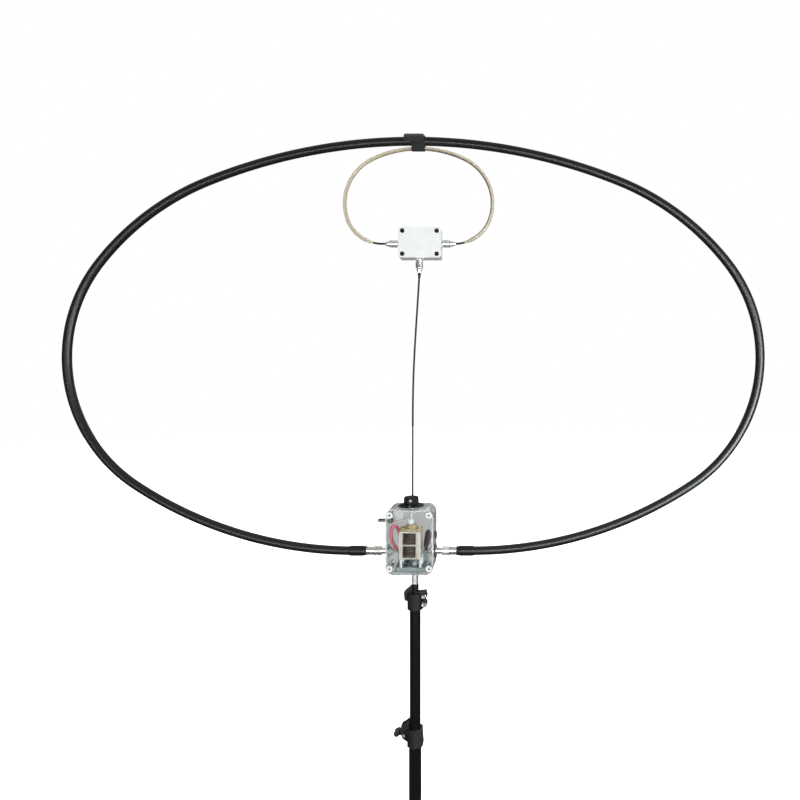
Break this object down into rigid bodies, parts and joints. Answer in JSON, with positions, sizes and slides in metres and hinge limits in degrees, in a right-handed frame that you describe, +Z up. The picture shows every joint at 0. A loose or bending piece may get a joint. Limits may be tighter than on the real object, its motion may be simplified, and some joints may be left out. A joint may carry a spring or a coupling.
{
  "type": "radio loop antenna",
  "caption": "Magnetic loop antenna: stiff black cable oval on a clear tuning box with a capacitor and knob, small coupling loop with a white box, on a telescopic mast.",
  "frame": {"origin": "centre of the mast's lower end, where a stand holds it", "axes": "+Z up along the mast, +X to the right seen from the front in the plane of the loop, +Y to the back"},
  "size_m": [1.242, 0.055, 1.286],
  "materials": {
    "black_jacket": "satin",
    "black_shrink": "matte",
    "black_plastic": "matte",
    "black_paint": "satin",
    "black_rubber": "matte",
    "strap_fabric": "matte",
    "nickel": "polished",
    "steel": "brushed",
    "dark_steel": "satin",
    "aluminium": "satin",
    "brass": "satin",
    "copper": "polished",
    "cream_frame": "satin",
    "plate_metal": "satin",
    "ceramic": "gloss",
    "clear_plastic": "clear gloss",
    "white_plastic": "satin",
    "nylon": "satin",
    "grey_silicone": "matte",
    "tan_jacket": "translucent",
    "red_insulation": "satin",
    "ferrite": "matte"
  },
  "bodies": {
    "stand": {"mast_lower_tube": "black_paint", "mast_collar": "black_plastic", "lever_pin": "steel"},
    "clamp_lever": {"collar_lever": "black_plastic"},
    "upper_mast": {"mast_upper_tube": "black_paint"},
    "knob": {"tuning_knob": "black_plastic", "knob_set_screw": "steel", "knob_shaft": "steel", "shaft_coupler": "nylon", "drive_input": "steel"},
    "rotor": {"capacitor_rotor": "plate_metal", "drive_balls": "steel"},
    "nut_left": {"loop_nut_left": "nickel"},
    "nut_right": {"loop_nut_right": "nickel"},
    "ring_left": {"coupling_ring_left": "nickel"},
    "ring_right": {"coupling_ring_right": "nickel"},
    "ring_feed": {"feed_ring": "nickel"},
    "antenna": {"mast_head": "black_plastic", "head_bolts": "steel", "head_nuts": "steel", "adapter_stud": "steel", "adapter_nut": "steel", "base_plate": "aluminium", "plate_bolts": "dark_steel", "capacitor_standoffs": "aluminium", "enclosure_base": "clear_plastic", "enclosure_lid": "clear_plastic", "lid_gasket": "grey_silicone", "lid_screws": "nylon", "capacitor_frame": "cream_frame", "stator_upper": "plate_metal", "stator_lower": "plate_metal", "stator_insulators": "ceramic", "drive_body": "brass", "drive_screws": "steel", "shaft_bush": "steel", "loop_jacks": "nickel", "jack_gaskets": "black_rubber", "jack_nuts": "nickel", "loop_plugs": "nickel", "loop_cable": "black_jacket", "loop_sleeves": "black_shrink", "loop_strap": "strap_fabric", "coupling_cable": "tan_jacket", "coupling_tails": "black_jacket", "coupling_jacks": "nickel", "coupling_plugs": "nickel", "feed_plug": "nickel", "coupling_box_body": "white_plastic", "coupling_box_lid": "white_plastic", "coupling_box_screws": "dark_steel", "balun_core": "ferrite", "balun_winding": "copper", "feed_lead": "black_jacket", "lead_grommet": "black_rubber", "rf_jack": "nickel", "red_lead": "red_insulation", "black_lead": "black_jacket", "side_plug": "black_rubber"}
  },
  "joints": [
    {"name": "mast_slide", "type": "slide", "parent": "stand", "child": "upper_mast", "axis": [0, 0, 1], "range_m": [-0.08, 0.07]},
    {"name": "lever_turn", "type": "hinge", "parent": "stand", "child": "clamp_lever", "pos_m": [-0.019, 0, 0.225], "axis": [0, -1, 0], "range_deg": [0, 60]},
    {"name": "head_turn", "type": "hinge", "parent": "upper_mast", "child": "antenna", "pos_m": [0, 0, 0.455], "axis": [0, 0, 1], "continuous": true},
    {"name": "rotor_turn", "type": "hinge", "parent": "antenna", "child": "rotor", "pos_m": [-0.006, -0.006, 0.565], "axis": [0, 0, 1], "range_deg": [0, 180]},
    {"name": "knob_turn", "type": "hinge", "parent": "antenna", "child": "knob", "pos_m": [-0.006, -0.006, 0.63], "axis": [0, 0, 1], "range_deg": [0, 1080]},
    {"name": "nut_left_turn", "type": "hinge", "parent": "antenna", "child": "nut_left", "pos_m": [-0.066, 0, 0.548], "axis": [-1, 0, 0], "continuous": true},
    {"name": "nut_right_turn", "type": "hinge", "parent": "antenna", "child": "nut_right", "pos_m": [0.05, 0, 0.548], "axis": [1, 0, 0], "continuous": true},
    {"name": "ring_left_turn", "type": "hinge", "parent": "antenna", "child": "ring_left", "pos_m": [-0.042, 0, 1.091], "axis": [-1, 0, 0], "range_deg": [0, 90]},
    {"name": "ring_right_turn", "type": "hinge", "parent": "antenna", "child": "ring_right", "pos_m": [0.052, 0, 1.091], "axis": [1, 0, 0], "range_deg": [0, 90]},
    {"name": "ring_feed_turn", "type": "hinge", "parent": "antenna", "child": "ring_feed", "pos_m": [0.0074, 0, 1.055], "axis": [0, 0, -1], "range_deg": [0, 90]}
  ],
  "couplings": [
    {"joint": "knob_turn", "follows": "rotor_turn", "ratio": 6}
  ]
}
